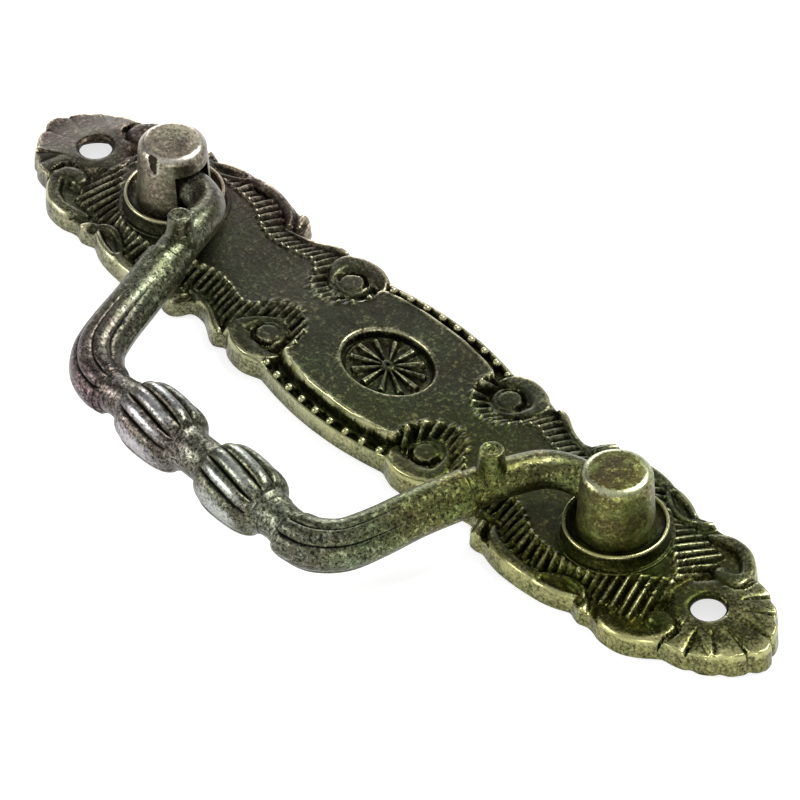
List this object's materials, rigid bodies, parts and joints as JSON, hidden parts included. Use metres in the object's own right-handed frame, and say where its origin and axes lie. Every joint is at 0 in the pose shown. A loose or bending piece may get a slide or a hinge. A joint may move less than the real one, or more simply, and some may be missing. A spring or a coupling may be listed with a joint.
{
  "type": "drawer handle",
  "caption": "Drop-bail drawer handle: a narrow scrollwork backplate with a screw hole at each end, round pivot posts, and a swinging bail with fluted melon beads.",
  "frame": {"origin": "middle of the two screw holes, in the plane of the plate's back", "axes": "+X along the plate, +Z out of the drawer front, the bail hangs towards -Y"},
  "size_m": [0.1244, 0.0441, 0.0138],
  "materials": {
    "dark_bronze": "antique bronze on cast zinc alloy, dark in the recesses and rubbed bright on the edges",
    "worn_bronze": "antique bronze on cast zinc alloy, rubbed lighter where it is handled"
  },
  "bodies": {
    "plate": {"backplate": "dark_bronze", "left_post": "worn_bronze", "right_post": "worn_bronze"},
    "bail": {"bail": "worn_bronze"}
  },
  "joints": [
    {"name": "bail_swing", "type": "hinge", "parent": "plate", "child": "bail", "pos_m": [0, 0, 0.0082], "axis": [-1, 0, 0], "range_deg": [-3.5, 170]}
  ]
}
